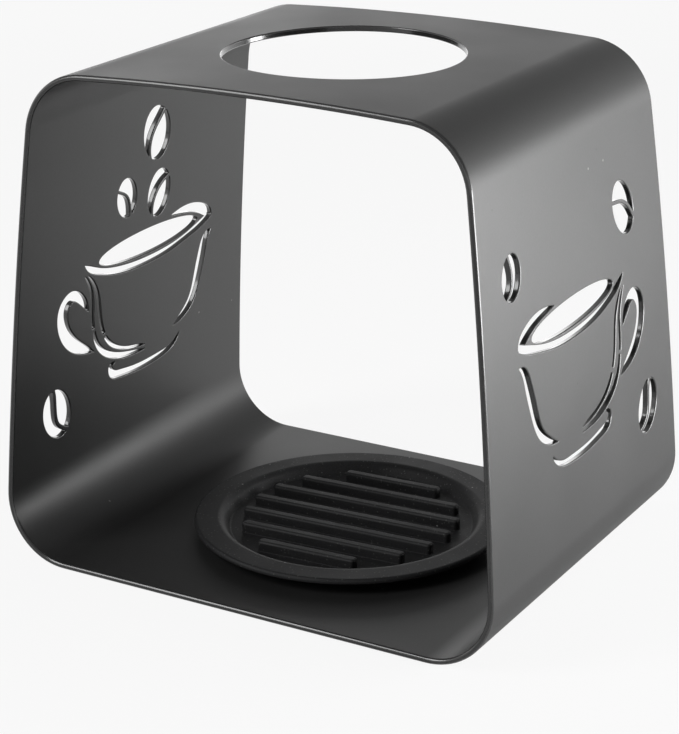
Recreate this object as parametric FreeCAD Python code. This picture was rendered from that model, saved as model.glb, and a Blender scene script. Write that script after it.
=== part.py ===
import FreeCAD, Part
import math
import os

# Pour over dripper stand: one closed band of sheet steel with a round hole in its top for the
# dripper, cut-outs of a cup and coffee beans in both walls, and a loose ribbed mat on its base.
# Millimetres. X is the width, Y the depth with the front at -Y, and Z is up from the table.

Vector = FreeCAD.Vector
origin = Vector(0, 0, 0)
upward = Vector(0, 0, 1)

# The band: its outline is a trapezoid with large bends, and its open edges lean in towards the top.
# The widths and the height are those of the sharp corners that the bends round off.
sheet = 1.8
base_width = 165.0
top_width = 137.6
corner_height = 148.3
crown = 2.35
wall_bow = 1.6
bend_radius = 20.0
base_depth = 128.0
top_depth = 113.5
hole_diameter = 70.0

# The mat: a shallow dish with a wide overhanging rim that rolls down into a sloping wall
mat_at = (0.5, 1.0)
mat_turn = 3.4
mat_diameter = 96.4
mat_height = 5.0
mat_floor = 1.5
mat_wall = 1.6
mat_wall_slope = 2.4
mat_rim_width = 8.5
mat_rim_thickness = 1.6
mat_rim_roll = 3.0
mat_rim_edge = 0.9

# Straight ribs across the mat's floor, a little lower than the rim
rib_count = 7
rib_pitch = 9.7
rib_width = 3.2
rib_below_rim = 0.3
rib_margin = 4.0
rib_round = 0.6

# Cut-outs, in the plane of a wall seen from inside the stand: u runs along the depth, v up the
# wall from the outer corner of the base. Both walls carry the same cup, half a turn round Z apart.
# A cup is placed by the middle of its mouth and turned about it, in degrees.
left_cup = {"at": (6.0, 82.0), "turn": 0.0}
right_cup = {"at": (5.0, 86.7), "turn": -1.1}

# The mouth of the cup, half its length and half its height
cup_mouth = (26.4, 4.1)

# Brush strokes of the cup, measured from the middle of its mouth: u, v and the stroke's width
cup_strokes = {
    "lip_front": [
        (-33.6, 0.8, 0), (-31, -1.0, 1.7), (-26, -3.1, 2.0), (-18, -5.1, 2.1), (2, -6.4, 2.1),
        (12, -5.7, 2.0), (22, -3.8, 2.0), (29, -1.9, 2.4), (34.3, 0.0, 1.8),
    ],
    "lip_back": [
        (34.3, -0.8, 1.4), (32.4, 1.0, 3.4), (29.3, 2.8, 3.5), (19, 5.2, 2.2), (11.8, 5.1, 0),
    ],
    "handle": [
        (-31.6, -14.2, 0), (-35.8, -9.0, 2.9), (-40.0, -7.4, 3.4), (-43.7, -10.0, 4.5),
        (-44.2, -15.0, 4.8), (-37.0, -24.5, 4.1), (-32.2, -27.0, 2.4), (-28.5, -28.7, 0),
    ],
    "near_side_upper": [
        (-33.5, -2.8, 0), (-31.2, -6.2, 0.9), (-29.6, -10.5, 1.0), (-29.2, -16, 1.0), (-28.7, -21, 1.0),
    ],
    "near_side_lower": [
        (-28.2, -22.4, 1.0), (-23.5, -30.3, 1.8), (-18, -33.4, 2.0), (-6, -36.0, 1.1), (-1, -36.5, 0),
    ],
    "inner_side_upper": [
        (-31.8, -3.0, 0), (-29, -6.2, 0.9), (-26.8, -10.5, 1.1), (-24.7, -20.5, 1.1), (-23.1, -24.4, 1.0),
    ],
    "inner_side_lower": [
        (-22.2, -26, 1.0), (-19.3, -29.1, 1.2), (-9, -33.6, 0.9), (-5, -34.3, 0.8), (-1.2, -34.9, 0),
    ],
    "far_side": [
        (35, -5.4, 0), (31.9, -7.8, 2.8), (30.4, -12, 3.7), (28.7, -18, 3.9), (24.6, -27.8, 3.1),
        (20.5, -31, 2.2), (15, -33.3, 0),
    ],
    "foot": [
        (-17.2, -35.8, 0.5), (-19.2, -37.2, 1.8), (-18.4, -39.3, 2.5), (-14, -40.8, 2.4), (-8, -41.5, 2.2),
        (8, -41.4, 1.8), (13, -40.6, 1.4), (16.3, -39, 1.1), (18.6, -36.7, 0),
    ],
}

# Coffee beans: place of the middle, half length and half breadth, lean of the length to the left
# in degrees, width of the seam that joins the halves to the wall, and the seam's course from the
# middle. Both walls have the same low bean below the handle.
left_low_place = (-40.6, 38.6)
right_low_place = (-42.2, 43.1)
low_bean = {
    "half": (8.4, 6.3), "lean": 25, "seam": 1.5,
    "course": [(-1.8, 8.2), (-0.9, 3.4), (-0.5, -0.6), (0.6, -3.6), (2.8, -5.5), (5.8, -6.9)],
}
left_beans = [
    dict(low_bean, at=left_low_place),
    {"at": (7.2, 117), "half": (8.8, 6.8), "lean": 12, "seam": 1.4,
     "course": [(4.4, 8.0), (0.1, 3.0), (-2.6, -1.0), (-3.3, -4.5), (-2.0, -9.4)]},
    {"at": (-7.2, 99.3), "half": (6.4, 4.9), "lean": 12, "seam": 1.1,
     "course": [(-6.4, 3.6), (-2.0, 1.8), (0.4, 0.1), (1.7, -2.4), (2.3, -7.2)]},
    {"at": (10.0, 96.8), "half": (7.7, 5.7), "lean": -10, "seam": 1.3,
     "course": [(6.6, 4.9), (2.0, 3.2), (-0.8, 0.8), (-2.6, -2.2), (-3.2, -5.0), (-2.4, -8.6)]},
]
right_beans = [
    dict(low_bean, at=right_low_place),
    {"at": (40.4, 106), "half": (6.4, 5.2), "lean": 18, "seam": 1.1,
     "course": [(1.3, 7.4), (-0.3, 2.2), (-0.5, -1.0), (0.5, -3.2), (4.6, -6.0)]},
    {"at": (-31.8, 106.9), "half": (8.6, 6.2), "lean": -28, "seam": 1.3,
     "course": [(8.6, 2.9), (3.8, 2.3), (-0.2, 1.6), (-3.2, 0.1), (-5.7, -2.4), (-8.4, -6.4)]},
]

# Worked out from the sizes above: the stand's full height, and how far a cutter passes to each
# side of the wall's flat drawing, which is well past the bowed sheet
height = corner_height + crown
cut_reach = 2 * (wall_bow + sheet)


def wall_normal():
    """The outward direction of the right wall, square to the line between its corners."""
    lean = math.atan2((base_width - top_width) / 2, corner_height)
    return Vector(math.cos(lean), 0, math.sin(lean))


def arc_centre(chord, rise, middle, outward):
    """Centre and radius of the arc that stands out by the rise over the middle of a chord."""
    radius = chord ** 2 / (8 * rise) + rise / 2
    return middle - outward * (radius - rise), radius


def right_side():
    """Centres and radii, in the XZ plane, of the wall, the top, the lower bend and the upper bend."""
    base_corner = Vector(base_width / 2, 0, 0)
    top_corner = Vector(top_width / 2, 0, corner_height)
    chord = top_corner.distanceToPoint(base_corner)
    wall, wall_radius = arc_centre(chord, wall_bow, (base_corner + top_corner) / 2, wall_normal())
    top, top_radius = arc_centre(top_width, crown, Vector(0, 0, corner_height), upward)
    to_wall = wall_radius - bend_radius
    to_top = top_radius - bend_radius
    low_bend = Vector(wall.x + math.sqrt(to_wall ** 2 - (bend_radius - wall.z) ** 2), 0, bend_radius)
    gap = top - wall
    share = (to_wall ** 2 - to_top ** 2 + gap.Length ** 2) / (2 * gap.Length)
    across = Vector(-gap.z, 0, gap.x) / gap.Length
    high_bend = wall + gap * (share / gap.Length) + across * math.sqrt(to_wall ** 2 - share ** 2)
    return (wall, wall_radius), (top, top_radius), (low_bend, bend_radius), (high_bend, bend_radius)


def arc_about(centre, radius, start, end):
    """An edge on the circle about a centre, between the directions of two points, the short way."""
    first = (start - centre).normalize()
    last = (end - centre).normalize()
    middle = (first + last).normalize()
    return Part.Arc(centre + first * radius, centre + middle * radius, centre + last * radius).toShape()


def band_outline(inset):
    """The band's outline in the XZ plane: flat base, bowed walls, crowned top and four bends."""
    (wall, wall_radius), (top, top_radius), (low, low_radius), (high, high_radius) = right_side()
    foot = Vector(low.x, 0, inset)
    shoulder = high + (high - top)
    edges = [
        arc_about(low, low_radius - inset, foot, low + (low - wall)),
        arc_about(wall, wall_radius - inset, low, high),
        arc_about(high, high_radius - inset, high + (high - wall), shoulder),
    ]
    mirrored = [edge.mirror(origin, Vector(1, 0, 0)) for edge in edges]
    crest = arc_about(top, top_radius - inset, high, Vector(-high.x, 0, high.z))
    base = Part.makeLine(foot, Vector(-foot.x, 0, inset))
    return Part.Wire(Part.__sortEdges__(edges + mirrored + [crest, base]))


def band_prism(inset):
    """The space within the outline, as deep as the base."""
    face = Part.Face(band_outline(inset))
    face.translate(Vector(0, -base_depth / 2, 0))
    return face.extrude(Vector(0, base_depth, 0))


def side_prism():
    """The space between the two leaning planes that cut the band's open edges."""
    rise = height + sheet
    slope = (base_depth - top_depth) / 2 / height
    low = base_depth / 2
    high = low - slope * rise
    corners = [(-low, 0), (low, 0), (high, rise), (-high, rise)]
    wire = Part.makePolygon([Vector(-base_width, y, z) for y, z in corners + corners[:1]])
    return Part.Face(wire).extrude(Vector(2 * base_width, 0, 0))


def ellipse_face(half, lean):
    """A level ellipse, its longer half first, with its length leaning left of v by some degrees."""
    along = Vector(-math.sin(math.radians(lean)), math.cos(math.radians(lean)), 0)
    across = Vector(along.y, -along.x, 0)
    curve = Part.Ellipse(along * half[0], across * half[1], origin)
    return Part.Face(Part.Wire(curve.toShape()))


def stroke_face(stations):
    """A brush stroke: a smooth run through the stations, with a width that swells and tapers."""
    points = [Vector(u, v, 0) for u, v, width in stations]
    middle = Part.BSplineCurve()
    middle.interpolate(points)
    left = []
    right = []
    for point, (u, v, width) in zip(points, stations):
        tangent = middle.tangent(middle.parameter(point))[0]
        aside = Vector(-tangent.y, tangent.x, 0) * (width / 2)
        left.append(point + aside)
        right.append(point - aside)
    edges = []
    for side in (left, right):
        curve = Part.BSplineCurve()
        curve.interpolate(side)
        edges.append(curve.toShape())
    for end in (0, -1):
        if stations[end][2] > 0:
            edges.append(Part.makeLine(left[end], right[end]))
    return Part.Face(Part.Wire(Part.__sortEdges__(edges)))


def cutter(face, at, turn=0):
    """A prism on a shape that is turned and placed in the drawing, long enough to pass the wall."""
    face.rotate(origin, upward, turn)
    face.translate(Vector(at[0], at[1], -cut_reach))
    return face.extrude(Vector(0, 0, 2 * cut_reach))


def bean_cutters(bean):
    """The two halves of a bean, parted by the seam."""
    whole = ellipse_face(bean["half"], bean["lean"])
    seam = stroke_face([(u, v, bean["seam"]) for u, v in bean["course"]])
    return [cutter(half, bean["at"]) for half in whole.cut(seam).Faces]


def cup_cutters(cup):
    """The mouth of a cup and the brush strokes round it."""
    faces = [ellipse_face(cup_mouth, 90)] + [stroke_face(stations) for stations in cup_strokes.values()]
    return [cutter(face, cup["at"], cup["turn"]) for face in faces]


def wall_place(side):
    """The frame of a wall's drawing: side is -1 for the left wall and 1 for the right."""
    normal = wall_normal()
    inward = Vector(-side * normal.x, 0, -normal.z)
    along = Vector(0, -side, 0)
    up = inward.cross(along)
    corner = Vector(side * base_width / 2, 0, 0)
    return FreeCAD.Placement(corner, FreeCAD.Rotation(along, up, inward, "ZXY"))


def wall_cutters(side, cup, beans):
    """Every cutter of one wall, set in its place on the stand."""
    cutters = cup_cutters(cup)
    for bean in beans:
        cutters += bean_cutters(bean)
    place = wall_place(side)
    for shape in cutters:
        shape.Placement = place.multiply(shape.Placement)
    return cutters


def make_stand():
    """The band, one piece of sheet, with its hole and cut-outs."""
    band = band_prism(0).cut(band_prism(sheet)).common(side_prism())
    hole = Part.makeCylinder(hole_diameter / 2, height, Vector(0, 0, height / 2))
    cutters = [hole]
    cutters += wall_cutters(-1, left_cup, left_beans)
    cutters += wall_cutters(1, right_cup, right_beans)
    return band.cut(cutters)


def rounded_outline(corners):
    """A closed outline in the XZ plane through corners that state x, z and the radius of their arc."""
    points = [Vector(x, 0, z) for x, z, radius in corners]
    edges = []
    stops = []
    for number, (x, z, radius) in enumerate(corners):
        point = points[number]
        back = (points[number - 1] - point).normalize()
        ahead = (points[(number + 1) % len(points)] - point).normalize()
        half_angle = back.getAngle(ahead) / 2
        tangent = radius / math.tan(half_angle)
        if radius > 0:
            inside = (back + ahead).normalize()
            centre = point + inside * (radius / math.sin(half_angle))
            edges.append(arc_about(centre, radius, point + back * tangent, point + ahead * tangent))
        stops.append((point + back * tangent, point + ahead * tangent))
    for number, (arrival, departure) in enumerate(stops):
        edges.append(Part.makeLine(stops[number - 1][1], arrival))
    return Part.Wire(Part.__sortEdges__(edges))


def mat_dish():
    """The mat without its ribs, turned about Z from one profile."""
    rim = mat_diameter / 2
    lip = rim - mat_rim_width
    floor_edge = lip - mat_wall_slope
    under_rim = mat_height - mat_rim_thickness
    profile = rounded_outline([
        (0, 0, 0),
        (floor_edge + mat_wall, 0, 0),
        (lip + mat_wall, under_rim, 0),
        (rim, under_rim, 0),
        (rim, mat_height - mat_rim_edge, 0),
        (rim - mat_rim_edge, mat_height, 0),
        (lip, mat_height, mat_rim_roll),
        (floor_edge, mat_floor, 0),
        (0, mat_floor, 0),
    ])
    return Part.Face(profile).revolve(origin, upward, 360)


def mat_ribs():
    """Straight ribs on the floor, as long as the circle that they keep to allows."""
    reach = mat_diameter / 2 - mat_rim_width - mat_wall_slope - rib_margin
    top = mat_height - rib_below_rim
    half = rib_width / 2
    corners = [(-half, 0, 0), (half, 0, 0), (half, top, rib_round), (-half, top, rib_round)]
    section = Part.Face(rounded_outline(corners))
    ribs = []
    for number in range(rib_count):
        offset = (number - (rib_count - 1) / 2) * rib_pitch
        half_length = math.sqrt(reach ** 2 - offset ** 2)
        rib = section.extrude(Vector(0, 2 * half_length, 0))
        rib.translate(Vector(offset, -half_length, 0))
        rib.rotate(origin, upward, 90)
        ribs.append(rib)
    return ribs


def make_mat():
    """The drip mat, one moulding, lying on the base."""
    mat = mat_dish().fuse(mat_ribs()).removeSplitter()
    mat.rotate(origin, upward, mat_turn)
    mat.translate(Vector(mat_at[0], mat_at[1], sheet))
    return mat


def save(name, shape):
    """Write one solid to its own file."""
    solids = shape.Solids
    if len(solids) != 1 or not solids[0].isValid():
        raise ValueError(name + " is not one sound solid")
    solids[0].exportStep(os.path.join("parts", name + ".step"))
    box = solids[0].optimalBoundingBox(False)
    print(name, round(box.XLength, 2), round(box.YLength, 2), round(box.ZLength, 2))


os.makedirs("parts", exist_ok=True)
save("stand", make_stand())
save("drip_mat", make_mat())
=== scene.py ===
import math

import bpy
import numpy as np
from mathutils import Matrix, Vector, geometry


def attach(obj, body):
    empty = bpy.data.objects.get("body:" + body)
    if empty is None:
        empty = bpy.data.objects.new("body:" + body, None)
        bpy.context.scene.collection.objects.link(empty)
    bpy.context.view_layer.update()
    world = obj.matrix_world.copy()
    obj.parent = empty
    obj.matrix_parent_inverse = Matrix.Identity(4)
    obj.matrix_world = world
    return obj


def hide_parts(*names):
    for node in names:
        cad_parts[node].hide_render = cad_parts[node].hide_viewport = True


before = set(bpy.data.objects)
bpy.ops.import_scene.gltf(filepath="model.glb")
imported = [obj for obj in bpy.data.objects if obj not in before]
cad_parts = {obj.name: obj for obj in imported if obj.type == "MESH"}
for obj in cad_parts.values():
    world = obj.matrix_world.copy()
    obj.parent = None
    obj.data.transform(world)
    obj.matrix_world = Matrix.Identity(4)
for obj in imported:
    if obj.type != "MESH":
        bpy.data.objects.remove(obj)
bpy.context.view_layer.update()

# Pour over dripper stand: a powder coated band of sheet steel with rounded open edges and
# cut-outs, and a moulded silicone drip mat on its base.
# Lengths are in millimetres and turn to metres where a mesh is made.
# X is the width, Y the depth with the front at -Y, and Z is up from the table.
METRES = 0.001

# The band's outline, as the solid has it: a trapezoid with a bowed wall at each side, a crowned
# top and four bends. The widths and the height are those of the corners that the bends round off.
sheet = 1.8
base_width = 165.0
top_width = 137.6
corner_height = 148.3
crown = 2.35
wall_bow = 1.6
bend_radius = 20.0
base_depth = 128.0
top_depth = 113.5
height = corner_height + crown

# The coated edges: the radius of the open front and back edges and of the cut-outs' edges, the
# mesh steps in a quarter turn, and how glossy the coat's bead is on the face between two rounds
open_edge_round = 0.88
cut_edge_round = 0.42
round_steps = 4
open_face_gloss = 0.5
cut_face_gloss = 0.9

# A round takes up at most this share of a narrow bridge between two cut-outs. The bridge's least
# width counts for this many points to each side, and is evened out over this many.
bridge_share = 0.36
bridge_reach = 4
bridge_blend = 3

# What lies within this share of straight ahead is across the bridge
ahead_share = 0.5

# Spacing of the mesh: along the bends, along the rest of the outline, across the depth and along
# the cut-outs' edges, and how far the faces' inner points keep from a cut-out
bend_step = 1.6
wall_step = 5.0
depth_step = 8.0
cut_step = 0.55
cut_clearance = 1.32

# A cut-out's outline turns a corner where it turns by more than this, in degrees. At the pointed
# tip of a hole the edge fans out in turns of at most fan_turn, and elsewhere a corner's edge
# stretches by at most stretch_limit.
corner_turn = 32.0
fan_turn = 25.0
stretch_limit = 2.0

# Distances in millimetres that count as none
no_distance = 1e-6
no_length = 1e-9

# Places are welded at this many digits, of a millimetre in the solid and of a metre in a new mesh.
# In a new mesh they are compared a little off the round values, so that equal places never fall
# either side of one. The rows where the sheet's outline closes are told apart at level_digits.
solid_digits = 3
mesh_digits = 7
off_round = 3.1e-8
level_digits = 6

# A face of the solid lies on the band's outside where it faces outwards by more than this share
outside_share = 0.7

# Points on the outline for finding the distance along it
outline_samples = 24001

# The mat, as the solid has it
mat_at = (0.5, 1.0)
mat_turn = 3.4
mat_diameter = 96.4
mat_height = 5.0
mat_floor = 1.5
mat_wall = 1.6
mat_wall_slope = 2.4
mat_rim_width = 8.5
mat_rim_thickness = 1.6
mat_rim_roll = 3.0
mat_rim_round = 0.95
mat_under_round = 0.35
mat_wall_foot = 0.8
rib_count = 7
rib_pitch = 9.7
rib_width = 3.2
rib_below_rim = 0.3
rib_margin = 4.0
rib_crest_round = 0.8
rib_end_round = 1.1
rib_foot_round = 0.15

# The mat's mesh: steps round it, the largest turn on a rounded profile in degrees, steps on a
# rib's ends, foot and crest, the underside's inner ring, and how far inside the floor's edge the
# flat floor starts
mat_steps = 180
profile_turn = 14.0
rib_end_steps = 6
rib_foot_steps = 3
rib_crest_steps = 5
under_ring = 1.0
floor_ring = 1.5

# The camera of the photograph: its place, its turn about X, Y and Z in degrees, its lens and the
# sensor across the picture's long side, the picture's point that the lens looks at, and the
# nearest and farthest that it sees, in metres
image_width = 679
image_height = 734
camera_place = (321.98, -546.62, 289.10)
camera_turn = (69.512, 0.357, 29.895)
camera_lens = 110.67
camera_sensor = 36.0
camera_middle = (364.4, 374.5)
camera_near = 0.01
camera_far = 20.0


def linear(code):
    """An sRGB hex colour as linear red, green and blue."""
    parts = [int(code[i:i + 2], 16) / 255 for i in (1, 3, 5)]
    return tuple(c / 12.92 if c <= 0.04045 else ((c + 0.055) / 1.055) ** 2.4 for c in parts)


def rgba(code):
    """The same colour for a socket, opaque."""
    return (*linear(code), 1.0)


# Outline of the band

def arc_centre(chord, rise, middle, outward):
    """Centre and radius of the arc that stands out by the rise over the middle of a chord."""
    radius = chord ** 2 / (8 * rise) + rise / 2
    return middle - outward * (radius - rise), radius


def right_arcs():
    """Centre, radius, end angles and mesh spacing of the right side's arcs, from the base up."""
    base_corner = Vector((base_width / 2, 0))
    top_corner = Vector((top_width / 2, corner_height))
    side = top_corner - base_corner
    outward = Vector((side.y, -side.x)).normalized()
    wall, wall_radius = arc_centre(side.length, wall_bow, (base_corner + top_corner) / 2, outward)
    top, top_radius = arc_centre(top_width, crown, Vector((0, corner_height)), Vector((0, 1)))
    to_wall = wall_radius - bend_radius
    to_top = top_radius - bend_radius
    low = Vector((wall.x + math.sqrt(to_wall ** 2 - (bend_radius - wall.y) ** 2), bend_radius))
    gap = top - wall
    share = (to_wall ** 2 - to_top ** 2 + gap.length ** 2) / (2 * gap.length)
    across = Vector((-gap.y, gap.x)) / gap.length
    high = wall + gap * (share / gap.length) + across * math.sqrt(to_wall ** 2 - share ** 2)
    foot = -math.pi / 2
    low_end = math.atan2(*(low - wall).yx)
    high_start = math.atan2(*(high - wall).yx)
    high_end = math.atan2(*(high - top).yx)
    return [
        (low, bend_radius, foot, low_end, bend_step),
        (wall, wall_radius, low_end, high_start, wall_step),
        (high, bend_radius, high_start, high_end, bend_step),
        (top, top_radius, high_end, math.pi / 2, wall_step),
    ]


class Outline:
    """The band's closed outline: place and outward direction for each distance along it."""

    def __init__(self):
        arcs = right_arcs()
        # A run is a line with its length and mesh spacing, or an arc as right_arcs gives it
        runs = [("line", arcs[0][0].x, wall_step)] + [("arc", *arc) for arc in arcs]
        self.pieces = []
        start = 0.0
        for run in runs + runs[::-1]:
            mirrored = len(self.pieces) >= len(runs)
            if run[0] == "line":
                length = run[1]
            else:
                length = run[2] * (run[4] - run[3])
            self.pieces.append((start, length, run, mirrored))
            start += length
        self.length = start

    def at(self, s):
        """Arrays of places (x, z) and outward directions for distances along the outline."""
        s = np.asarray(s, float)
        place = np.zeros(s.shape + (2,))
        out = np.zeros(s.shape + (2,))
        for start, length, run, mirrored in self.pieces:
            here = (s >= start - no_length) & (s <= start + length + no_length)
            along = s[here] - start
            if mirrored:
                along = length - along
            if run[0] == "line":
                xz = np.stack([along, np.zeros_like(along)], -1)
                normal = np.broadcast_to([0.0, -1.0], xz.shape).copy()
            else:
                centre, radius, first = run[1], run[2], run[3]
                angle = first + along / radius
                normal = np.stack([np.cos(angle), np.sin(angle)], -1)
                xz = np.array(centre) + radius * normal
            if mirrored:
                xz = xz * [-1, 1]
                normal = normal * [-1, 1]
            place[here] = xz
            out[here] = normal
        return place, out

    def stations(self):
        """Distances along the outline at which the mesh has its rows."""
        found = []
        for start, length, run, _ in self.pieces:
            count = max(1, round(length / run[-1]))
            found += [start + length * i / count for i in range(count)]
        return np.array(found + [self.length])

    def distance_along(self, xz):
        """Distance along the outline of points on it."""
        middle = np.array([0.0, height / 2])
        fine = np.linspace(0, self.length, outline_samples)
        place = self.at(fine)[0]
        angle = np.unwrap(np.arctan2(*(place - middle).T[::-1]))
        query = np.arctan2(*(xz - middle).T[::-1])
        query = np.where(query < angle[0], query + 2 * math.pi, query)
        return np.interp(query, angle, fine)


outline = Outline()


def half_depth(z):
    """Half the band's depth at a height: the open edges lean in towards the top."""
    return (base_depth - (base_depth - top_depth) * np.asarray(z) / height) / 2


def wrap(flat, depth):
    """Places on the band of flat points (distance along, y) at a depth below the outside."""
    place, out = outline.at(flat[:, 0])
    inner = place - out * depth
    y = flat[:, 1] * half_depth(inner[:, 1]) / half_depth(place[:, 1])
    return np.stack([inner[:, 0], y, inner[:, 1]], -1)


def outward_normals(flat):
    """Directions square to the sheet, outwards, at flat points."""
    out = outline.at(flat[:, 0])[1]
    return np.stack([out[:, 0], np.zeros(len(out)), out[:, 1]], -1)


def edge_normals(flat, direction):
    """Directions in the sheet's face that point out of the material, across an edge."""
    out = outline.at(flat[:, 0])[1]
    along = np.stack([-out[:, 1], np.zeros(len(out)), out[:, 0]], -1)
    away = -direction / np.linalg.norm(direction, axis=1)[:, None]
    return along * away[:, :1] + np.array([0.0, 1.0, 0.0]) * away[:, 1:]


# Loops of the cut-outs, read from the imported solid

def outer_face_loops():
    """Closed outlines of the holes in the outer face, as arrays of (distance along, y)."""
    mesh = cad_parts["stand"].data
    places = np.array([v.co for v in mesh.vertices]) / METRES
    keys = {}
    welded = []
    index = []
    for place in np.round(places, solid_digits):
        key = tuple(place)
        if key not in keys:
            keys[key] = len(welded)
            welded.append(place)
        index.append(keys[key])
    welded = np.array(welded)
    along = outline.distance_along(welded[:, [0, 2]])
    surface, out = outline.at(along)
    on_surface = np.linalg.norm(surface - welded[:, [0, 2]], axis=1) < sheet / 4
    uses = {}
    for polygon in mesh.polygons:
        corners = [index[v] for v in polygon.vertices]
        outward = out[corners[0]] @ np.array(polygon.normal.xz)
        if outward < outside_share or not all(on_surface[c] for c in corners):
            continue
        for a, b in zip(corners, corners[1:] + corners[:1]):
            uses[(a, b)] = uses.get((a, b), 0) + 1
    ahead = {a: b for a, b in uses if (b, a) not in uses}
    loops = []
    while ahead:
        first, current = ahead.popitem()
        loop = [first]
        while current != first:
            loop.append(current)
            current = ahead.pop(current)
        loops.append(loop)
    flat = [np.stack([along[loop], welded[loop, 1]], -1)[::-1] for loop in loops]
    return [points for points in flat if np.ptp(points[:, 0]) < outline.length / 2]


def turn_angles(points):
    """How far a closed loop turns at each point, in radians, left turns positive."""
    ahead = np.roll(points, -1, 0) - points
    behind = points - np.roll(points, 1, 0)
    cross = behind[:, 0] * ahead[:, 1] - behind[:, 1] * ahead[:, 0]
    dot = (behind * ahead).sum(1)
    return np.arctan2(cross, dot)


def smooth_run(points, closed):
    """Evenly spaced points on a smooth curve through the points of one run."""
    if closed:
        padded = np.concatenate([points[-2:], points, points[:3]])
        first, last = 2, 2 + len(points)
    else:
        before = 2 * points[0] - points[1]
        after = 2 * points[-1] - points[-2]
        padded = np.concatenate([[before], points, [after]])
        first, last = 1, len(points)
    chords = np.linalg.norm(np.diff(padded, axis=0), axis=1)
    knots = np.concatenate([[0], np.cumsum(np.sqrt(chords))])
    result = []
    for i in range(first, last):
        p, t = padded[i - 1:i + 3], knots[i - 1:i + 3]
        count = max(1, math.ceil(chords[i] / cut_step))
        for k in range(count):
            now = t[1] + (t[2] - t[1]) * k / count
            a = [p[j] + (p[j + 1] - p[j]) * (now - t[j]) / (t[j + 1] - t[j]) for j in range(3)]
            b = [a[j] + (a[j + 1] - a[j]) * (now - t[j]) / (t[j + 2] - t[j]) for j in range(2)]
            result.append(b[0] + (b[1] - b[0]) * (now - t[1]) / (t[2] - t[1]))
    if not closed:
        result.append(points[-1])
    return np.array(result)


def smooth_loop(points):
    """The loop with its curves evened out and its corners kept; also which points are corners."""
    corners = np.flatnonzero(np.abs(turn_angles(points)) > math.radians(corner_turn))
    if len(corners) == 0:
        run = smooth_run(points, closed=True)
        return run, np.zeros(len(run), bool)
    points = np.roll(points, -corners[0], 0)
    stops = list(corners - corners[0]) + [len(points)]
    closed = np.concatenate([points, points[:1]])
    smooth = []
    sharp = []
    for a, b in zip(stops, stops[1:]):
        run = smooth_run(closed[a:b + 1], closed=False)[:-1]
        smooth.append(run)
        sharp += [True] + [False] * (len(run) - 1)
    return np.concatenate(smooth), np.array(sharp)


def left_of(steps):
    """Directions of length 1 to the left of a line's steps."""
    return np.stack([-steps[:, 1], steps[:, 0]], -1) / np.linalg.norm(steps, axis=1)[:, None]


def inset_directions(points, sharp):
    """Points and directions into the material along a loop, fanned out at a hole's tips."""
    normal_behind = left_of(points - np.roll(points, 1, 0))
    normal_ahead = left_of(np.roll(points, -1, 0) - points)
    turns = turn_angles(points)
    places = []
    directions = []
    for place, first, last, turn, corner in zip(points, normal_behind, normal_ahead, turns, sharp):
        if corner and turn < 0:
            steps = max(1, math.ceil(-turn / math.radians(fan_turn)))
            for k in range(steps + 1):
                angle = turn * k / steps
                c, s = math.cos(angle), math.sin(angle)
                places.append(place)
                directions.append((c * first[0] - s * first[1], s * first[0] + c * first[1]))
            continue
        middle = first + last
        middle = middle / np.linalg.norm(middle)
        stretch = 1 / max(1 / stretch_limit, float(middle @ first))
        places.append(place)
        directions.append(middle * stretch)
    return np.array(places), np.array(directions)


# Mesh making

class Mesher:
    """Gathers vertices, their normals and faces, and makes one object of them."""

    def __init__(self):
        self.places = []
        self.normals = []
        self.beads = []
        self.faces = []
        self.count = 0

    def add(self, places, normals, bead=0.0):
        """Adds vertices and gives their numbers; bead is how glossy the coat is there, up to 1."""
        self.places.append(np.asarray(places, float))
        self.normals.append(np.asarray(normals, float))
        self.beads.append(np.full(len(places), bead))
        numbers = np.arange(self.count, self.count + len(places))
        self.count += len(places)
        return numbers

    def band(self, row, following, closed=True):
        """Quads between two rows of vertices."""
        ends = len(row) if closed else len(row) - 1
        for i in range(ends):
            j = (i + 1) % len(row)
            self.faces.append((row[i], row[j], following[j], following[i]))

    def build(self, name):
        """The object, with doubled vertices joined and faces of no area left out."""
        places = np.concatenate(self.places) * METRES
        normals = np.concatenate(self.normals)
        beads = np.concatenate(self.beads)
        keys = {}
        order = np.zeros(len(places), int)
        kept = []
        sums = []
        kept_beads = []
        for i, key in enumerate(map(tuple, np.round(places + off_round, mesh_digits))):
            if key not in keys:
                keys[key] = len(kept)
                kept.append(places[i])
                sums.append(np.zeros(3))
                kept_beads.append(beads[i])
            order[i] = keys[key]
            sums[order[i]] += normals[i]
        faces = []
        for face in self.faces:
            corners = []
            for v in face:
                number = int(order[v])
                if number not in corners:
                    corners.append(number)
            if len(corners) > 2:
                faces.append(corners)
        mesh = bpy.data.meshes.new(name)
        mesh.from_pydata(kept, [], faces)
        mesh.update()
        mesh.shade_smooth()
        mesh.normals_split_custom_set_from_vertices([Vector(n).normalized() for n in sums])
        round_edge = mesh.attributes.new("round_edge", "FLOAT", "POINT")
        round_edge.data.foreach_set("value", kept_beads)
        piece = bpy.data.objects.new(name, mesh)
        bpy.context.scene.collection.objects.link(piece)
        return piece


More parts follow.
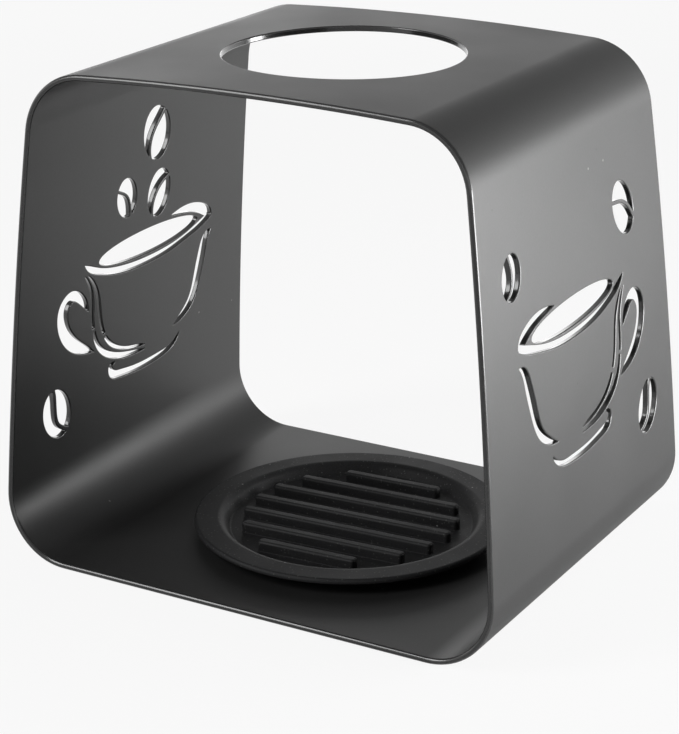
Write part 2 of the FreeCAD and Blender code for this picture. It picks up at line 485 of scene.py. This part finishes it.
def edge_rounds(lines, radius):
    """The round for each point of the cut-outs' lines: less where a bridge of metal is narrow."""
    every = np.concatenate([points for points, _ in lines])
    rounds = []
    for points, directions in lines:
        unit = directions / np.linalg.norm(directions, axis=1)[:, None]
        apart = every[None] - points[:, None]
        distance = np.linalg.norm(apart, axis=2)
        ahead = (apart * unit[:, None]).sum(-1) > ahead_share * distance
        width = np.where(ahead & (distance > no_distance), distance, np.inf).min(1)
        shifts = range(-bridge_reach, bridge_reach + 1)
        least = np.min([np.roll(width, k) for k in shifts], axis=0)
        fitting = np.minimum(radius, least * bridge_share)
        shifts = range(-bridge_blend, bridge_blend + 1)
        rounds.append(np.mean([np.roll(fitting, k) for k in shifts], axis=0))
    return rounds


def add_edge(mesher, points, directions, radius, closed, face_gloss):
    """The rounded edge along one line; gives the flat line where it meets the two faces.

    face_gloss is how glossy the coat is on the face between the rounds, 1 for as on the rounds.
    """
    rows = []
    reach = np.broadcast_to(radius, len(points))[:, None]
    for turn in [math.pi / 2 * k / round_steps for k in range(round_steps + 1)]:
        inset = directions * reach * (1 - math.sin(turn))
        rows.append((inset, reach * (1 - math.cos(turn)), turn))
    rows += [(inset, sheet - depth, math.pi - turn) for inset, depth, turn in rows[::-1]]
    made = []
    for inset, depth, turn in rows:
        flat = points + inset
        square = outward_normals(flat)
        away = edge_normals(flat, directions)
        normals = square * math.cos(turn) + away * math.sin(turn)
        gloss = np.interp(math.sin(turn), (0, math.sqrt(0.5), 1), (0, 1, face_gloss))
        made.append(mesher.add(wrap(flat, depth), normals, bead=gloss))
    for row, following in zip(made, made[1:]):
        mesher.band(row, following, closed)
    return points + directions * reach


def inside_loop(points, loop):
    """Which points lie inside a closed loop."""
    inside = np.zeros(len(points), bool)
    x, y = points[:, 0], points[:, 1]
    for (x1, y1), (x2, y2) in zip(loop, np.roll(loop, -1, 0)):
        if y1 == y2:
            continue
        crosses = (y1 > y) != (y2 > y)
        inside ^= crosses & (x < (x2 - x1) * (y - y1) / (y2 - y1) + x1)
    return inside


def distance_to_loop(points, loop):
    """Least distance from points to a loop's vertices."""
    return np.sqrt(((points[:, None] - loop[None]) ** 2).sum(-1)).min(1)


def fill_flat(border, holes, inner_points):
    """Triangles over a flat region with holes: its points and the triangles' corner numbers."""
    lines = [border] + holes
    points = np.concatenate(lines + [inner_points])
    edges = []
    start = 0
    for line in lines:
        edges += [(start + i, start + (i + 1) % len(line)) for i in range(len(line))]
        start += len(line)
    made = geometry.delaunay_2d_cdt([Vector(p) for p in points], edges, [], 0, no_distance)
    flat = np.array([points[given[0]] if given else tuple(place)
                     for place, given in zip(made[0], made[3])])
    triangles = np.array([tuple(f) for f in made[2]])
    middles = flat[triangles].mean(1)
    wanted = inside_loop(middles, border)
    for hole in holes:
        low, high = hole.min(0), hole.max(0)
        near = wanted & (middles > low).all(1) & (middles < high).all(1)
        numbers = np.flatnonzero(near)
        wanted[numbers[inside_loop(middles[numbers], hole)]] = False
    return flat, triangles[wanted]


def grid_points(stations, loops):
    """Points of the faces' inner mesh, clear of the edges."""
    place = outline.at(stations)[0]
    found = []
    for s, z in zip(stations, place[:, 1]):
        reach = float(half_depth(z)) - open_edge_round
        count = math.ceil(2 * reach / depth_step)
        for k in range(1, count):
            found.append((s, -reach + 2 * reach * k / count))
    found = np.array(found)
    for loop in loops:
        low, high = loop.min(0) - cut_clearance, loop.max(0) + cut_clearance
        numbers = np.flatnonzero(((found > low) & (found < high)).all(1))
        if len(numbers) == 0:
            continue
        near = found[numbers]
        close = (distance_to_loop(near, loop) < cut_clearance) | inside_loop(near, loop)
        found = np.delete(found, numbers[close], axis=0)
    return found


def make_band():
    """The stand's sheet: two faces joined by rounded edges along the open sides and cut-outs."""
    mesher = Mesher()
    stations = outline.stations()
    reach = half_depth(outline.at(stations)[0][:, 1])
    open_lines = []
    for side in (-1, 1):
        points = np.stack([stations, side * reach], -1)
        slope = np.gradient(points[:, 1], stations)
        directions = np.stack([side * slope, -side * np.ones_like(slope)], -1)
        if side > 0:
            points, directions = points[::-1], directions[::-1]
        open_lines.append(add_edge(mesher, points, directions, open_edge_round,
                                   closed=False, face_gloss=open_face_gloss))
    lines = [inset_directions(*smooth_loop(loop)) for loop in outer_face_loops()]
    holes = []
    for (points, directions), rounds in zip(lines, edge_rounds(lines, cut_edge_round)):
        holes.append(add_edge(mesher, points, directions, rounds,
                              closed=True, face_gloss=cut_face_gloss))
    front, back = open_lines
    levels = np.unique(np.round(grid_points(stations[:1], [])[:, 1], level_digits))
    end_line = np.array([(outline.length, y) for y in levels])
    start_line = np.array([(0.0, y) for y in levels[::-1]])
    border = np.concatenate([front, end_line, back, start_line])
    inner_points = grid_points(stations[1:-1], holes)
    flat, triangles = fill_flat(border, holes, inner_points)
    square = outward_normals(flat)
    outer = mesher.add(wrap(flat, 0.0), square)
    inner = mesher.add(wrap(flat, sheet), -square)
    for a, b, c in triangles:
        mesher.faces.append((outer[a], outer[c], outer[b]))
        mesher.faces.append((inner[a], inner[b], inner[c]))
    return mesher.build("coated_band")


# The drip mat

def rounded_profile(corners):
    """Points (radius, z) and normals along a profile whose corners state r, z and their round."""
    points = [np.array(corner[:2]) for corner in corners]
    places = [points[0]]
    normals = [np.array([0.0, -1.0])]
    for number in range(1, len(corners) - 1):
        point, radius = points[number], corners[number][2]
        back = points[number - 1] - point
        ahead = points[number + 1] - point
        back = back / np.linalg.norm(back)
        ahead = ahead / np.linalg.norm(ahead)
        half_angle = math.acos(float(np.clip(back @ ahead, -1, 1))) / 2
        bisector = (back + ahead) / np.linalg.norm(back + ahead)
        centre = point + bisector * radius / math.sin(half_angle)
        first = point + back * radius / math.tan(half_angle) - centre
        last = point + ahead * radius / math.tan(half_angle) - centre
        left_turn = back[0] * ahead[1] - back[1] * ahead[0] < 0
        steps = max(2, math.ceil((math.pi - 2 * half_angle) / math.radians(profile_turn)))
        for k in range(steps + 1):
            share = k / steps
            angle = share * (math.pi - 2 * half_angle)
            mix = math.sin(math.pi - 2 * half_angle - angle) * first + math.sin(angle) * last
            arm = mix / math.sin(math.pi - 2 * half_angle)
            places.append(centre + arm)
            normals.append(arm / radius if left_turn else -arm / radius)
    places.append(points[-1])
    normals.append(np.array([0.0, 1.0]))
    return places, normals


def turn_direction(directions):
    """Directions turned as the mat is."""
    c, s = math.cos(math.radians(mat_turn)), math.sin(math.radians(mat_turn))
    directions = np.asarray(directions, float)
    x = c * directions[:, 0] - s * directions[:, 1]
    y = s * directions[:, 0] + c * directions[:, 1]
    return np.stack([x, y, directions[:, 2]], -1)


def turn_mat(points):
    """Places of the mat's own points on the stand's base."""
    return turn_direction(points) + [mat_at[0], mat_at[1], sheet]


def rib_plan(half_length):
    """Points round a rib's foot and the directions out of it, turning left."""
    points = []
    outward = []
    half_width = rib_width / 2
    arms = [(1, -1), (1, 1), (-1, 1), (-1, -1)]
    for quarter, (u, v) in enumerate(arms):
        centre = np.array([u * (half_length - rib_end_round), v * (half_width - rib_end_round)])
        for k in range(rib_end_steps + 1):
            angle = math.pi / 2 * (quarter - 1 + k / rib_end_steps)
            direction = np.array([math.cos(angle), math.sin(angle)])
            points.append(centre + direction * rib_end_round)
            outward.append(direction)
    return np.array(points), np.array(outward)


def rib_profile():
    """Steps up a rib's side: distance out, height and the normal's turn from level to upright."""
    top = mat_height - rib_below_rim
    steps = []
    for k in range(rib_foot_steps + 1):
        angle = math.pi / 2 * (1 - k / rib_foot_steps)
        out = rib_foot_round * (1 - math.cos(angle))
        steps.append((out, mat_floor + rib_foot_round * (1 - math.sin(angle)), angle))
    for k in range(rib_crest_steps + 1):
        angle = math.pi / 2 * k / rib_crest_steps
        inwards = rib_crest_round * (1 - math.cos(angle))
        steps.append((-inwards, top - rib_crest_round * (1 - math.sin(angle)), angle))
    return steps


def make_mat():
    """The mat: a turned dish with an overhanging rim, and round-edged ribs on its floor."""
    mesher = Mesher()
    rim = mat_diameter / 2
    lip = rim - mat_rim_width
    floor_edge = lip - mat_wall_slope
    under_rim = mat_height - mat_rim_thickness
    floor_border = floor_edge - floor_ring
    places, normals = rounded_profile([
        (under_ring, 0, 0),
        (floor_edge + mat_wall, 0, mat_under_round),
        (lip + mat_wall, under_rim, mat_under_round),
        (rim, under_rim, mat_under_round),
        (rim, mat_height, mat_rim_round),
        (lip, mat_height, mat_rim_roll),
        (floor_edge, mat_floor, mat_wall_foot),
        (floor_border, mat_floor, 0),
    ])
    angles = np.linspace(0, 2 * math.pi, mat_steps + 1)[:-1]
    ring = np.stack([np.cos(angles), np.sin(angles)], -1)
    rows = []
    for (r, z), (nr, nz) in zip(places, normals):
        circle = np.column_stack([ring * r, np.full(len(ring), z)])
        facing = np.column_stack([ring * nr, np.full(len(ring), nz)])
        rows.append(mesher.add(turn_mat(circle), turn_direction(facing)))
    for row, following in zip(rows, rows[1:]):
        mesher.band(row, following)
    mesher.faces.append(tuple(rows[0][::-1]))
    reach = floor_edge - rib_margin
    feet = []
    upright = np.array([0.0, 0.0, 1.0])
    for number in range(rib_count):
        offset = (number - (rib_count - 1) / 2) * rib_pitch
        points, outward = rib_plan(math.sqrt(reach ** 2 - offset ** 2))
        points = points + [0.0, offset]
        rows = []
        for out, z, angle in rib_profile():
            flat = points + outward * out
            level = np.column_stack([outward, np.zeros(len(outward))])
            facing = level * math.cos(angle) + upright * math.sin(angle)
            places = np.column_stack([flat, np.full(len(flat), z)])
            rows.append(mesher.add(turn_mat(places), turn_direction(facing)))
        for row, following in zip(rows, rows[1:]):
            mesher.band(row, following)
        mesher.faces.append(tuple(rows[-1]))
        foot_out = rib_profile()[0][0]
        feet.append((points + outward * foot_out)[::-1])
    flat, triangles = fill_flat(ring * floor_border, feet, np.zeros((0, 2)))
    level = np.column_stack([flat, np.full(len(flat), mat_floor)])
    floor = mesher.add(turn_mat(level), np.broadcast_to(upright, level.shape))
    mesher.faces += [tuple(floor[triangle]) for triangle in triangles]
    return mesher.build("moulded_mat")


# Materials

# The Mix node has one set of sockets for numbers and one for colours
NUMBER_A, NUMBER_B, NUMBER_OUT = 2, 3, 0
COLOUR_A, COLOUR_B, COLOUR_OUT = 6, 7, 2

# Most of a noise pattern's values lie between these
noise_low = 0.3
noise_high = 0.7

# Sizes in the powder coat: the clouds of a thicker film, and the grit, which is about 0.15 mm
# across and drawn coarser so that it shows in the picture, with its depth
film_cloud = 38.0
grit_size = 0.6
grit_depth = 0.02

# Sizes in the silicone: the patches of bloom, and the blasting of the mould, which is about 0.1 mm
# across and drawn coarser so that it shows, with its depth
bloom_patch = 14.0
blasting_size = 0.45
blasting_depth = 0.02


def add_node(tree, kind, settings, inputs):
    """A node with its settings, and its inputs set to values or linked to other nodes' sockets."""
    node = tree.nodes.new(kind)
    for name, value in settings.items():
        setattr(node, name, value)
    for socket, value in inputs.items():
        if isinstance(value, bpy.types.NodeSocket):
            tree.links.new(value, node.inputs[socket])
        else:
            node.inputs[socket].default_value = value
    return node


def per_metre(size):
    """A pattern's scale for a size in millimetres."""
    return 1 / (size * METRES)


def new_material(name):
    """An empty node material and its tree."""
    material = bpy.data.materials.new(name)
    material.use_nodes = True
    material.node_tree.nodes.clear()
    return material, material.node_tree


def add_specks(tree, place, colour, spacing, size, share, fleck):
    """Specks or pits: a small round spot in a share of the cells of a coarse pattern."""
    cells = add_node(tree, "ShaderNodeTexVoronoi", {"feature": "F1"}, {
        "Vector": place, "Scale": per_metre(spacing), "Randomness": 1.0})
    chosen = add_node(tree, "ShaderNodeSeparateColor", {}, {"Color": cells.outputs["Color"]})
    few = add_node(tree, "ShaderNodeMath", {"operation": "LESS_THAN"}, {
        0: chosen.outputs["Red"], 1: share})
    small = add_node(tree, "ShaderNodeMapRange", {}, {
        "Value": cells.outputs["Distance"],
        "From Min": size / spacing, "From Max": 0.5 * size / spacing,
        "To Min": 0.0, "To Max": 1.0})
    spot = add_node(tree, "ShaderNodeMath", {"operation": "MULTIPLY"}, {
        0: few.outputs[0], 1: small.outputs["Result"]})
    spotted = add_node(tree, "ShaderNodeMix", {"data_type": "RGBA"}, {
        "Factor": spot.outputs[0], COLOUR_A: colour, COLOUR_B: rgba(fleck)})
    return spotted.outputs[COLOUR_OUT]


def powder_coat():
    """Black polyester powder coat, baked on steel.

    The eye gets an even charcoal skin with a fine sandy grain, soft wide reflections that turn
    pale at a grazing angle, faint clouds where the film is a little thicker, and a few specks of
    dust and dark pits. The film melts into a smooth, glossy bead along the edges, which draws a
    bright line there.
    """
    material, tree = new_material("powder_coat")
    place = add_node(tree, "ShaderNodeTexCoord", {}, {}).outputs["Object"]
    clouds = add_node(tree, "ShaderNodeTexNoise", {}, {
        "Vector": place, "Scale": per_metre(film_cloud), "Detail": 3.0})
    grit = add_node(tree, "ShaderNodeTexNoise", {}, {
        "Vector": place, "Scale": per_metre(grit_size), "Detail": 2.0})
    film = add_node(tree, "ShaderNodeMix", {"data_type": "RGBA"}, {
        "Factor": clouds.outputs["Fac"], COLOUR_A: rgba("#272727"), COLOUR_B: rgba("#2d2d2d")})
    grained = add_node(tree, "ShaderNodeMix", {"data_type": "RGBA", "blend_type": "OVERLAY"}, {
        "Factor": 0.4, COLOUR_A: film.outputs[COLOUR_OUT], COLOUR_B: grit.outputs["Color"]})
    even = add_node(tree, "ShaderNodeHueSaturation", {}, {
        "Saturation": 0.1, "Color": grained.outputs[COLOUR_OUT]})
    dusted = add_specks(tree, place, even.outputs["Color"],
                        spacing=6.0, size=0.45, share=0.08, fleck="#747472")
    pitted = add_specks(tree, place, dusted, spacing=6.5, size=0.42, share=0.08, fleck="#0b0b0b")
    skin = add_node(tree, "ShaderNodeMapRange", {}, {
        "Value": clouds.outputs["Fac"], "From Min": noise_low, "From Max": noise_high,
        "To Min": 0.39, "To Max": 0.45})
    bead = add_node(tree, "ShaderNodeAttribute", {"attribute_name": "round_edge"}, {})
    rough = add_node(tree, "ShaderNodeMix", {"data_type": "FLOAT"}, {
        "Factor": bead.outputs["Fac"], NUMBER_A: skin.outputs["Result"], NUMBER_B: 0.17})
    bump = add_node(tree, "ShaderNodeBump", {}, {
        "Strength": 0.5, "Distance": grit_depth * METRES, "Height": grit.outputs["Fac"]})
    shader = add_node(tree, "ShaderNodeBsdfPrincipled", {}, {
        "Base Color": pitted, "Roughness": rough.outputs[NUMBER_OUT], "IOR": 1.5,
        "Coat Weight": bead.outputs["Fac"], "Coat Roughness": 0.12,
        "Normal": bump.outputs["Normal"]})
    add_node(tree, "ShaderNodeOutputMaterial", {}, {"Surface": shader.outputs["BSDF"]})
    return material


def silicone():
    """Black silicone rubber, moulded in a fine-blasted mould.

    The eye gets a deep, dull black with a soft grey bloom in patches, a faint unevenness from
    the mould and a little dust that clings to it.
    """
    material, tree = new_material("silicone")
    place = add_node(tree, "ShaderNodeTexCoord", {}, {}).outputs["Object"]
    bloom = add_node(tree, "ShaderNodeTexNoise", {}, {
        "Vector": place, "Scale": per_metre(bloom_patch), "Detail": 4.0})
    blasting = add_node(tree, "ShaderNodeTexNoise", {}, {
        "Vector": place, "Scale": per_metre(blasting_size), "Detail": 1.0})
    rubber = add_node(tree, "ShaderNodeMix", {"data_type": "RGBA"}, {
        "Factor": bloom.outputs["Fac"], COLOUR_A: rgba("#19191a"), COLOUR_B: rgba("#232324")})
    mottled = add_node(tree, "ShaderNodeMix", {"data_type": "RGBA", "blend_type": "OVERLAY"}, {
        "Factor": 0.8, COLOUR_A: rubber.outputs[COLOUR_OUT], COLOUR_B: blasting.outputs["Fac"]})
    fine_dust = add_specks(tree, place, mottled.outputs[COLOUR_OUT],
                           spacing=1.2, size=0.3, share=0.5, fleck="#4a4a49")
    dusted = add_specks(tree, place, fine_dust, spacing=6.0, size=0.32, share=0.3, fleck="#9a9a98")
    rough = add_node(tree, "ShaderNodeMapRange", {}, {
        "Value": bloom.outputs["Fac"], "From Min": noise_low, "From Max": noise_high,
        "To Min": 0.56, "To Max": 0.66})
    bump = add_node(tree, "ShaderNodeBump", {}, {
        "Strength": 0.5, "Distance": blasting_depth * METRES, "Height": blasting.outputs["Fac"]})
    shader = add_node(tree, "ShaderNodeBsdfPrincipled", {}, {
        "Base Color": dusted, "Roughness": rough.outputs["Result"], "IOR": 1.42,
        "Normal": bump.outputs["Normal"]})
    add_node(tree, "ShaderNodeOutputMaterial", {}, {"Surface": shader.outputs["BSDF"]})
    return material


# Studio

floor_size = 4000.0

# How white the floor looks to the camera, beside its own light and shade
floor_white_share = 0.9

# The white sweep behind the stand, as reflections see it: the way that it lies, where its edge
# begins and ends, and how white the floor looks before and behind that edge
sweep_direction = (-0.777, 0.630, 0.0)
sweep_edge = (10.0, 80.0)
shade_share = 0.2
mirrored_share = 0.8

# The light that falls on surfaces from all round
world_light = 0.1

# Reflections see the backdrop white up to the first height on a sphere of radius 1, and the
# ceiling, this bright, from the second
backdrop_top = 0.22
ceiling_start = 0.44
ceiling_light = 0.3


def seen_rays(tree):
    """1 for rays from the camera, a mirror or a clear body, 0 for rays that light a surface."""
    path = add_node(tree, "ShaderNodeLightPath", {}, {})
    either = add_node(tree, "ShaderNodeMath", {"operation": "MAXIMUM"}, {
        0: path.outputs["Is Camera Ray"], 1: path.outputs["Is Glossy Ray"]})
    any_seen = add_node(tree, "ShaderNodeMath", {"operation": "MAXIMUM"}, {
        0: either.outputs[0], 1: path.outputs["Is Transmission Ray"]})
    return any_seen.outputs[0]


def make_world():
    """Soft studio light from all round; seen as white, with a darker ceiling in reflections."""
    world = bpy.data.worlds.new("studio")
    world.use_nodes = True
    tree = world.node_tree
    tree.nodes.clear()
    direction = add_node(tree, "ShaderNodeTexCoord", {}, {}).outputs["Generated"]
    upwards = add_node(tree, "ShaderNodeSeparateXYZ", {}, {"Vector": direction})
    ceiling = add_node(tree, "ShaderNodeMapRange", {"interpolation_type": "SMOOTHSTEP"}, {
        "Value": upwards.outputs["Z"], "From Min": backdrop_top, "From Max": ceiling_start,
        "To Min": 1.0, "To Max": ceiling_light})
    path = add_node(tree, "ShaderNodeLightPath", {}, {})
    reflected = add_node(tree, "ShaderNodeMix", {"data_type": "FLOAT"}, {
        "Factor": path.outputs["Is Glossy Ray"],
        NUMBER_A: 1.0, NUMBER_B: ceiling.outputs["Result"]})
    strength = add_node(tree, "ShaderNodeMix", {"data_type": "FLOAT"}, {
        "Factor": seen_rays(tree),
        NUMBER_A: world_light, NUMBER_B: reflected.outputs[NUMBER_OUT]})
    background = add_node(tree, "ShaderNodeBackground", {}, {
        "Color": rgba("#ffffff"), "Strength": strength.outputs[NUMBER_OUT]})
    add_node(tree, "ShaderNodeOutputWorld", {}, {"Surface": background.outputs["Background"]})
    bpy.context.scene.world = world


def make_floor():
    """The white floor that the stand rests on: seen as white, with the stand's shadow faint on it.

    Reflections see it white behind the stand, and in front and to the right mostly by its own
    light and shade.
    """
    bpy.ops.mesh.primitive_plane_add(size=floor_size * METRES, location=(0, 0, 0))
    floor = bpy.context.object
    floor.name = "floor"
    material, tree = new_material("white_floor")
    place = add_node(tree, "ShaderNodeTexCoord", {}, {}).outputs["Object"]
    behind = add_node(tree, "ShaderNodeVectorMath", {"operation": "DOT_PRODUCT"}, {
        0: place, 1: sweep_direction})
    mirrored = add_node(tree, "ShaderNodeMapRange", {"interpolation_type": "SMOOTHSTEP"}, {
        "Value": behind.outputs["Value"],
        "From Min": sweep_edge[0] * METRES, "From Max": sweep_edge[1] * METRES,
        "To Min": shade_share, "To Max": mirrored_share})
    path = add_node(tree, "ShaderNodeLightPath", {}, {})
    share = add_node(tree, "ShaderNodeMix", {"data_type": "FLOAT"}, {
        "Factor": path.outputs["Is Glossy Ray"],
        NUMBER_A: floor_white_share, NUMBER_B: mirrored.outputs["Result"]})
    seen = add_node(tree, "ShaderNodeMath", {"operation": "MULTIPLY"}, {
        0: seen_rays(tree), 1: share.outputs[NUMBER_OUT]})
    lit = add_node(tree, "ShaderNodeBsdfDiffuse", {}, {"Color": rgba("#f3f3f3")})
    white = add_node(tree, "ShaderNodeEmission", {}, {"Color": rgba("#ffffff"), "Strength": 1.0})
    surface = add_node(tree, "ShaderNodeMixShader", {}, {
        0: seen.outputs[0], 1: lit.outputs["BSDF"], 2: white.outputs["Emission"]})
    add_node(tree, "ShaderNodeOutputMaterial", {}, {"Surface": surface.outputs["Shader"]})
    floor.data.materials.append(material)


def add_lamp(name, place, aim, size, strength):
    """A soft box at a place, turned to a point; strength is its brightness, 1 for white."""
    data = bpy.data.lights.new(name, "AREA")
    data.shape = "RECTANGLE"
    data.size = size[0] * METRES
    data.size_y = size[1] * METRES
    data.energy = strength * math.pi * data.size * data.size_y
    lamp = bpy.data.objects.new(name, data)
    lamp.location = Vector(place) * METRES
    lamp.rotation_euler = (Vector(aim) - Vector(place)).to_track_quat("-Z", "Y").to_euler()
    bpy.context.scene.collection.objects.link(lamp)


def make_camera():
    """The camera at the photograph's place."""
    data = bpy.data.cameras.new("camera")
    data.sensor_width = camera_sensor
    data.lens = camera_lens
    data.shift_x = (image_width / 2 - camera_middle[0]) / image_height
    data.shift_y = (camera_middle[1] - image_height / 2) / image_height
    data.clip_start = camera_near
    data.clip_end = camera_far
    camera = bpy.data.objects.new("camera", data)
    camera.location = Vector(camera_place) * METRES
    camera.rotation_euler = [math.radians(angle) for angle in camera_turn]
    bpy.context.scene.collection.objects.link(camera)
    bpy.context.scene.camera = camera


make_camera()
make_world()
make_floor()

# Low at the right, for the wide sheen of the right wall
add_lamp("side_lamp", place=(470, 171, 76), aim=(0, 0, 66), size=(430, 148), strength=18.5)
# Behind to the right, for the pale bands in the bends
add_lamp("corner_lamp", place=(470, 800, 150), aim=(0, 0, 60), size=(260, 130), strength=3.5)
# Behind to the left, for the sheen of the top and the base
add_lamp("back_lamp", place=(-470, 765, 205), aim=(0, 0, 75), size=(620, 250), strength=1.1)
# In front to the left, for the bright line along the open edges
add_lamp("front_lamp", place=(-460, -588, 560), aim=(0, 0, 75), size=(320, 580), strength=5.6)

band = make_band()
band.data.materials.append(powder_coat())
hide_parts("stand")
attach(band, "root")

mat = make_mat()
mat.data.materials.append(silicone())
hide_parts("drip_mat")
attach(mat, "root")

bpy.context.scene.view_settings.view_transform = "Standard"
